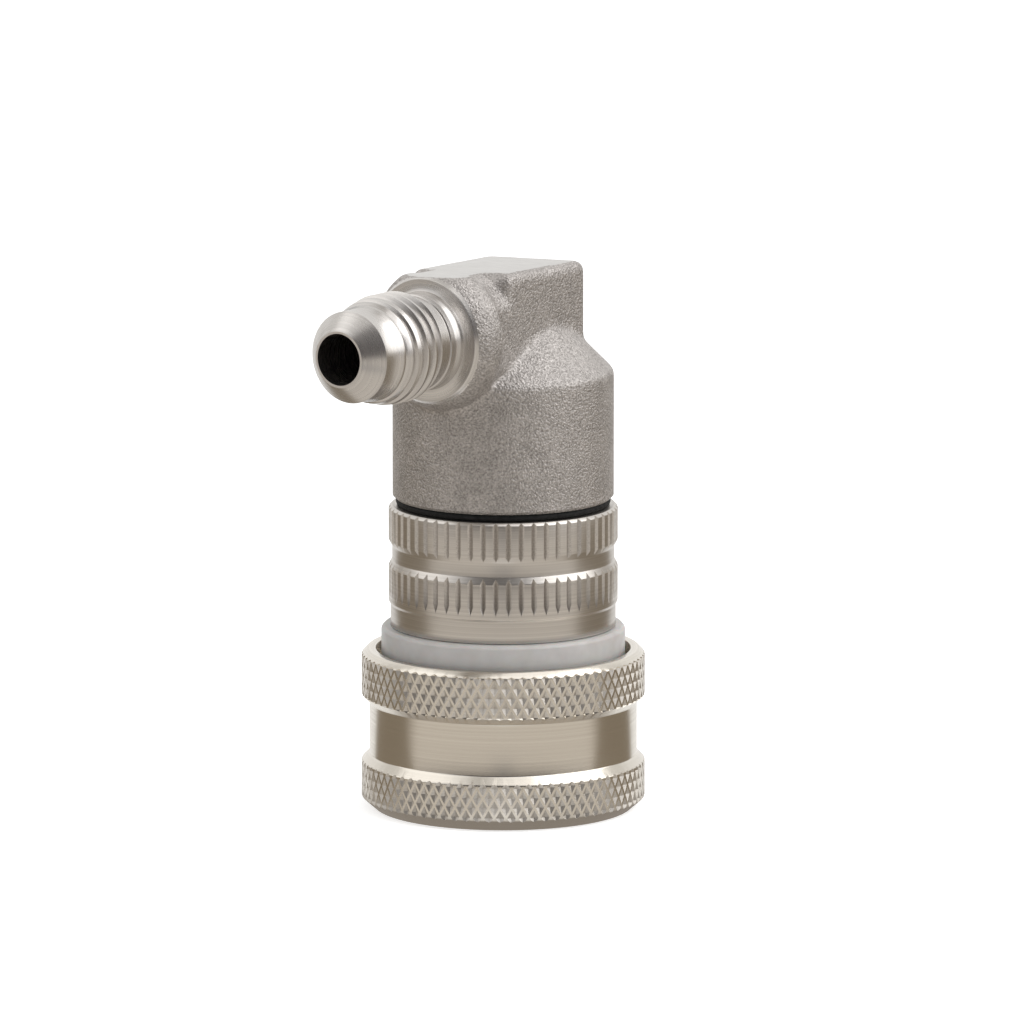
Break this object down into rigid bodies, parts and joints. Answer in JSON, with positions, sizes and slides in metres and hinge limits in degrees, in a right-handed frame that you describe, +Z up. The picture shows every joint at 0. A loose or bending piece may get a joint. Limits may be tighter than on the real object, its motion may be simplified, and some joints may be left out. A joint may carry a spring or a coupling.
{
  "type": "ball lock quick disconnect coupling",
  "caption": "Ball lock quick coupling: an elbow head with a male flare outlet, screwed to a turned socket with a spring-loaded knurled release collar.",
  "frame": {"origin": "centre of the socket's mouth, in the plane of the collar's foot", "axes": "+Z up the socket axis towards the head; the outlet points along -Y"},
  "size_m": [0.0286, 0.042, 0.0558],
  "materials": {
    "cast_steel": "bead-blasted casting, outlet machined bright",
    "turned_steel": "fine turned",
    "collar_steel": "polished, with knurled bands",
    "spring_steel": "drawn wire",
    "ball_steel": "polished",
    "white_plastic": "satin translucent white",
    "seal_rubber": "matt black"
  },
  "bodies": {
    "coupling_body": {"elbow_head": "cast_steel", "barrel": "turned_steel", "head_seal": "seal_rubber", "retaining_ring": "spring_steel", "poppet_spring": "spring_steel"},
    "ring_set": {"guide_ring": "white_plastic", "collar_spring": "spring_steel"},
    "collar": {"release_collar": "collar_steel"},
    "valve": {"poppet": "turned_steel", "poppet_seal": "seal_rubber"},
    "locking_ball_1": {"ball_1": "ball_steel"},
    "locking_ball_2": {"ball_2": "ball_steel"},
    "locking_ball_3": {"ball_3": "ball_steel"},
    "locking_ball_4": {"ball_4": "ball_steel"},
    "locking_ball_5": {"ball_5": "ball_steel"},
    "locking_ball_6": {"ball_6": "ball_steel"}
  },
  "joints": [
    {"name": "collar_spin", "type": "hinge", "parent": "coupling_body", "child": "ring_set", "pos_m": [0, 0, 0.0168], "axis": [0, 0, 1], "continuous": true},
    {"name": "collar_lift", "type": "slide", "parent": "ring_set", "child": "collar", "axis": [0, 0, 1], "range_m": [0, 0.0032], "stiffness_N_per_m": 1500, "springref_m": -0.003, "deforming": ["collar_spring"]},
    {"name": "poppet_lift", "type": "slide", "parent": "coupling_body", "child": "valve", "axis": [0, 0, 1], "range_m": [0, 0.0025], "stiffness_N_per_m": 300, "springref_m": -0.004, "deforming": ["poppet_spring"]},
    {"name": "ball_1_out", "type": "slide", "parent": "coupling_body", "child": "locking_ball_1", "axis": [0.866, 0.5, 0], "range_m": [0, 0.001]},
    {"name": "ball_2_out", "type": "slide", "parent": "coupling_body", "child": "locking_ball_2", "axis": [0, 1, 0], "range_m": [0, 0.001]},
    {"name": "ball_3_out", "type": "slide", "parent": "coupling_body", "child": "locking_ball_3", "axis": [-0.866, 0.5, 0], "range_m": [0, 0.001]},
    {"name": "ball_4_out", "type": "slide", "parent": "coupling_body", "child": "locking_ball_4", "axis": [-0.866, -0.5, 0], "range_m": [0, 0.001]},
    {"name": "ball_5_out", "type": "slide", "parent": "coupling_body", "child": "locking_ball_5", "axis": [0, -1, 0], "range_m": [0, 0.001]},
    {"name": "ball_6_out", "type": "slide", "parent": "coupling_body", "child": "locking_ball_6", "axis": [0.866, -0.5, 0], "range_m": [0, 0.001]}
  ],
  "couplings": [
    {"joint": "ball_1_out", "follows": "collar_lift", "ratio": 0.3},
    {"joint": "ball_2_out", "follows": "collar_lift", "ratio": 0.3},
    {"joint": "ball_3_out", "follows": "collar_lift", "ratio": 0.3},
    {"joint": "ball_4_out", "follows": "collar_lift", "ratio": 0.3},
    {"joint": "ball_5_out", "follows": "collar_lift", "ratio": 0.3},
    {"joint": "ball_6_out", "follows": "collar_lift", "ratio": 0.3}
  ]
}
